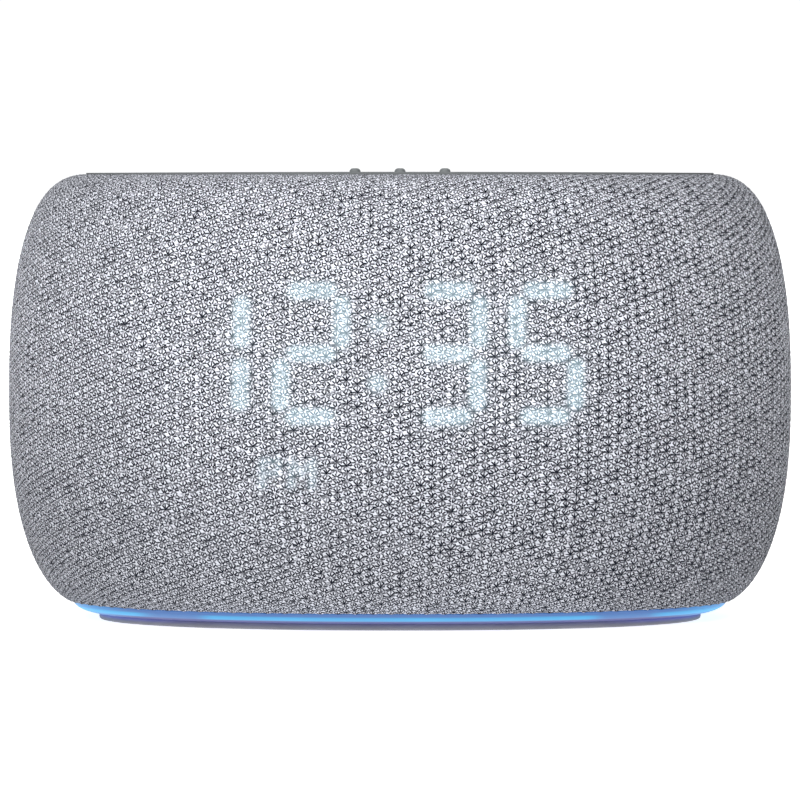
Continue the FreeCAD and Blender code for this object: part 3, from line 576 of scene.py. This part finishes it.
def digit_bars(x, lit):
    w, h = DIGIT_WIDTH / 2, DIGIT_HEIGHT / 2
    cut = BAR / 2 + SEGMENT_GAP
    spots = {
        "A": (-w + cut, h, w - cut, h),
        "G": (-w + cut, 0, w - cut, 0),
        "D": (-w + cut, -h, w - cut, -h),
        "F": (-w, cut, -w, h - cut),
        "B": (w, cut, w, h - cut),
        "E": (-w, -h + cut, -w, -cut),
        "C": (w, -h + cut, w, -cut),
    }
    return [tuple(np.add(spots[name], (x, DIGIT_Z, x, DIGIT_Z))) for name in lit]


def half_day_bars():
    """The strokes of a small P and M, which stand for the second half of the day."""
    p, m = HALF_DAY_X
    low, high = HALF_DAY_Z - 2.9, HALF_DAY_Z + 2.9
    middle = HALF_DAY_Z
    p_bars = [
        (p - 2, low, p - 2, high),
        (p - 2, high, p + 1.4, high),
        (p + 1.8, high - 0.6, p + 1.8, middle + 0.4),
        (p + 1.4, middle, p - 2, middle),
    ]
    m_bars = [
        (m - 2.6, low, m - 2.6, high),
        (m + 2.6, low, m + 2.6, high),
        (m - 2.6, high, m, middle),
        (m, middle, m + 2.6, high),
    ]
    return p_bars + m_bars


def blurred(far, radius, blur):
    """1 inside the radius, falling to 0 outside it over about the blur."""
    return 1 / (1 + np.exp((far - radius) / blur))


def clock_glow(points):
    """How brightly the display lights each point of the knit."""
    z = points[:, 2] / MM
    x = points[:, 0] / MM - DIGIT_LEAN * (z - DIGIT_Z)
    in_front = points[:, 1] < -20 * MM
    glow = np.zeros(len(points))
    halo = np.zeros(len(points))
    bars = [bar for place, lit in zip(DIGIT_X, SEGMENTS_LIT) for bar in digit_bars(place, lit)]
    for bar in bars:
        far = bar_distance(x, z, *bar)
        glow = np.maximum(glow, blurred(far, BAR / 2, BAR_BLUR))
        halo += np.exp(-(far / BAR_HALO) ** 2)
    for side, power in COLON_POWERS:
        far = np.hypot(x - COLON_X, z - DIGIT_Z - side * COLON_RISE)
        glow = np.maximum(glow, power * blurred(far, COLON_RADIUS, COLON_BLUR))
        halo += 0.5 * np.exp(-(far / COLON_HALO) ** 2)
    for bar in half_day_bars():
        far = bar_distance(x, z, *bar)
        glow = np.maximum(glow, HALF_DAY_POWER * blurred(far, HALF_DAY_RADIUS, HALF_DAY_BLUR))
    return np.where(in_front, GLOW_STRENGTH * glow + HALO_STRENGTH * halo, 0.0)


# ---------------------------------------------------------------- the pieces

def stitch_relief(u, v):
    """Height of the knit over its lattice, from 0 between the stitches to 1 on them."""
    a = u
    b = v - 0.5 * u
    wave = np.cos(2 * math.pi * a) + np.cos(2 * math.pi * b) + np.cos(2 * math.pi * (a + b))
    return (wave + 1.5) / 4.5


def sleeve_outline():
    """Half widths and heights of the sleeve's outer face, from the turned-in hem to the tuck at the top."""
    a, z = skin_profile(4000)
    rising = z > WIDEST_Z
    keep = (z >= SLEEVE_LOW[2]) & ~(rising & (a < SLEEVE_TOP_A))
    a, z = a[keep], z[keep]
    hem = np.linspace(HEM_A, a[0], HEM_RINGS, endpoint=False)
    a = np.concatenate([hem, a, np.full(len(TUCK_DEPTHS), SLEEVE_TOP_A)])
    z = np.concatenate([np.full(HEM_RINGS, z[0]), z, z[-1] - TUCK_DEPTHS])
    return a, z


def outward_normals(grid):
    """Unit normals of a closed band of rings, away from the body's middle."""
    across = np.roll(grid, -1, axis=1) - np.roll(grid, 1, axis=1)
    up = np.gradient(grid, axis=0)
    normal = np.cross(across, up)
    normal /= np.linalg.norm(normal, axis=2, keepdims=True)
    outward = np.sign((normal * (grid - [0, 0, WIDEST_Z])).sum(axis=2).mean())
    return normal * outward


def outside_recess(centre):
    """True for each face centre that isn't over the socket recess at the back."""
    half = (RECESS_HIGH[0] - RECESS_LOW[0]) / 2 - RECESS_FRAME
    low, high = RECESS_LOW[2] + RECESS_FRAME + 0.2 * MM, RECESS_HIGH[2] - RECESS_FRAME - 0.2 * MM
    inside = (np.abs(centre[:, 0]) < half) & (centre[:, 1] > 0)
    return ~(inside & (centre[:, 2] > low) & (centre[:, 2] < high))


def stitch_corners(around, rows):
    """For each quad of the outer face, its four corners counted in stitches."""
    face_u = np.tile(np.arange(around), rows - 1)
    face_v = np.repeat(np.arange(rows - 1), around)
    corners = [(0, 0), (1, 0), (1, 1), (0, 1)]
    return np.stack([np.stack([face_u + i, face_v + j], axis=1) for i, j in corners], axis=1) / STEPS


def close_rims(sleeve):
    """Join the outer face to the inner one along the top, the hem and the socket recess."""
    bm = bmesh.new()
    bm.from_mesh(sleeve.data)
    loose = [vert for vert in bm.verts if not vert.link_faces]
    bmesh.ops.delete(bm, geom=loose, context="VERTS")
    rims = {"top": [], "bottom": [], "recess": []}
    for edge in bm.edges:
        if not edge.is_boundary:
            continue
        middle = (edge.verts[0].co + edge.verts[1].co) / 2
        if middle.z > TOP_Z - 3 * MM:
            rims["top"].append(edge)
        elif middle.z < SLEEVE_LOW[2] + 2 * MM:
            rims["bottom"].append(edge)
        else:
            rims["recess"].append(edge)
    for edges in rims.values():
        bmesh.ops.bridge_loops(bm, edges=edges)
    for face in bm.faces:
        face.smooth = True
    bmesh.ops.recalc_face_normals(bm, faces=bm.faces)
    bm.to_mesh(sleeve.data)
    bm.free()


def make_sleeve():
    """The knitted sleeve: a fine outer face with its stitches raised, and a plain inner face."""
    a, z = sleeve_outline()
    _, _, length = resample(a, z, 10)
    courses = round(length / ROW_PITCH)
    rows = courses * STEPS + 1
    around = COLUMNS * STEPS
    a_out, z_out, _ = resample(a, z, rows)
    grid = ring_grid(a_out, z_out, even_turns(around))
    normal = outward_normals(grid)

    u = np.arange(around)[None, :] / STEPS
    v = np.arange(rows)[:, None] / STEPS
    from_rim = np.minimum(np.arange(rows), np.arange(rows)[::-1])[:, None] / STEPS
    relief = stitch_relief(u, v) * np.clip(from_rim, 0.3, 1) * STITCH_RELIEF
    outer = grid + normal * (relief - STITCH_RELIEF * 0.5)[:, :, None]
    inner = (grid - normal * SLEEVE_THICKNESS)[::STEPS, ::STEPS]
    points = np.concatenate([outer.reshape(-1, 3), inner.reshape(-1, 3)])

    outer_quads = grid_quads(rows, around)
    inner_quads = grid_quads(courses + 1, COLUMNS, rows * around)[:, ::-1]
    keep_outer = outside_recess(points[outer_quads].mean(axis=1))
    keep_inner = outside_recess(points[inner_quads].mean(axis=1))
    quads = np.concatenate([outer_quads[keep_outer], inner_quads[keep_inner]])
    sleeve = mesh_object("knit_sleeve", points, quads)

    flat_uv = np.zeros((len(quads), 4, 2))
    flat_uv[: keep_outer.sum()] = stitch_corners(around, rows)[keep_outer]
    layer = sleeve.data.uv_layers.new(name="knit")
    layer.data.foreach_set("uv", flat_uv.astype(np.float32).ravel())
    glow = sleeve.data.attributes.new("glow", "FLOAT", "POINT")
    glow.data.foreach_set("value", clock_glow(points).astype(np.float32))
    close_rims(sleeve)
    return sleeve


def make_light_ring():
    """The ring: it bulges out from the foot's edge to under the hem, and a lip rises inside the hem."""
    low, high = RING_LOW[2], RING_HIGH[2] - RING_CLEARANCE
    foot_a = (FOOT_HIGH[0] - FOOT_LOW[0]) / 2
    top_a = (RING_HIGH[0] - RING_LOW[0]) / 2
    profile = [(RING_INNER_A, low), (foot_a, low)]
    for i in range(1, RING_STEPS + 1):
        t = i / RING_STEPS
        bulge = math.sin(t * math.pi / 2) ** 0.8
        profile.append((foot_a + (top_a - foot_a) * bulge, low + (high - low) * t ** 1.35))
    profile += [(RING_LIP_A, high), (RING_LIP_A, RING_INNER_TOP), (RING_INNER_A, RING_INNER_TOP)]
    return revolved("glowing_ring", profile)


def make_foot():
    """The foot: a flat rubber band with a chamfer inside and a rounded lower edge outside."""
    foot_a = (FOOT_HIGH[0] - FOOT_LOW[0]) / 2
    high = FOOT_HIGH[2]
    curve = FOOT_ROUNDING
    profile = [(FOOT_INNER_A, high), (FOOT_INNER_A, FOOT_CHAMFER), (FOOT_INNER_A + FOOT_CHAMFER, 0.0)]
    for i in range(FOOT_STEPS + 1):
        turn = math.pi / 2 * i / FOOT_STEPS
        profile.append((foot_a - curve + curve * math.sin(turn), curve - curve * math.cos(turn)))
    profile.append((foot_a, high))
    return revolved("soft_foot", profile)


# ---------------------------------------------------------------- stage

def make_stage():
    """The white floor, which glows a little so that it stays white under the speaker."""
    mesh = bpy.data.meshes.new("floor")
    reach = 12.0
    corners = [(-reach, -reach, 0), (reach, -reach, 0), (reach, reach, 0), (-reach, reach, 0)]
    mesh.from_pydata(corners, [], [(0, 1, 2, 3)])
    floor = bpy.data.objects.new("floor", mesh)
    bpy.context.scene.collection.objects.link(floor)
    g = Graph("floor")
    speck = g.noise(g.place(), 30.0, 2.0)[0]
    g.set(Base_Color=g.mix(speck, grey(0.93), grey(0.95)), Roughness=0.9, Specular_IOR_Level=0.1)
    g.set(Emission_Color=(1.0, 1.0, 1.0, 1.0), Emission_Strength=0.8)
    mesh.materials.append(g.material)


def make_lights():
    """A sky that is white behind the speaker and dimmer to its right, and a soft sun from the upper left."""
    world = bpy.data.worlds.new("studio")
    world.use_nodes = True
    tree = world.node_tree
    background = tree.nodes["Background"]
    way = tree.nodes.new("ShaderNodeTexCoord").outputs["Generated"]
    split = tree.nodes.new("ShaderNodeSeparateXYZ")
    tree.links.new(way, split.inputs[0])

    def ramp(value, low, high, out_low, out_high):
        made = tree.nodes.new("ShaderNodeMapRange")
        for socket, given in zip(made.inputs[1:5], (low, high, out_low, out_high)):
            socket.default_value = given
        tree.links.new(value, made.inputs[0])
        return made.outputs[0]

    aside = ramp(split.outputs[0], -0.9, 0.9, SKY_LEFT, SKY_RIGHT)
    behind = ramp(split.outputs[1], 0.55, 0.85, 0.0, 1.0)
    strength = tree.nodes.new("ShaderNodeMix")
    tree.links.new(behind, strength.inputs[0])
    tree.links.new(aside, strength.inputs[2])
    strength.inputs[3].default_value = SKY_BEHIND
    tree.links.new(strength.outputs[0], background.inputs[1])
    background.inputs[0].default_value = (0.985, 0.99, 1.0, 1.0)
    bpy.context.scene.world = world

    data = bpy.data.lights.new("sun", "SUN")
    data.energy = SUN_STRENGTH
    data.angle = math.radians(SUN_SPREAD)
    sun = bpy.data.objects.new("sun", data)
    sun.rotation_euler = Vector(SUN_WAY).to_track_quat("-Z", "Y").to_euler()
    bpy.context.scene.collection.objects.link(sun)


def make_camera():
    data = bpy.data.cameras.new("camera")
    data.lens = CAMERA_LENS
    data.sensor_width = 36.0
    data.clip_start = 0.01
    camera = bpy.data.objects.new("camera", data)
    camera.location = (0.0, -CAMERA_DISTANCE, CAMERA_HEIGHT)
    camera.rotation_euler = (math.pi / 2 - CAMERA_PITCH, 0.0, 0.0)
    bpy.context.scene.collection.objects.link(camera)
    bpy.context.scene.camera = camera


# ---------------------------------------------------------------- putting it together

def dress(obj, material):
    obj.data.materials.clear()
    obj.data.materials.append(material)


def replace_node(piece, node, material):
    dress(piece, material)
    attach(piece, "housing")
    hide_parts(node)


bpy.context.scene.view_settings.view_transform = "Standard"
materials = make_materials()
for entry in frame["record"]["subparts"]:
    if entry["node"] in NODES:
        dress(NODES[entry["node"]], materials[entry["material_slot"]])

sleeve = make_sleeve()
replace_node(sleeve, "fabric_sleeve", materials["knit_fabric"])
replace_node(make_light_ring(), "light_ring", materials["light_guide"])
replace_node(make_foot(), "rubber_foot", materials["foot_rubber"])

make_stage()
make_lights()
make_camera()
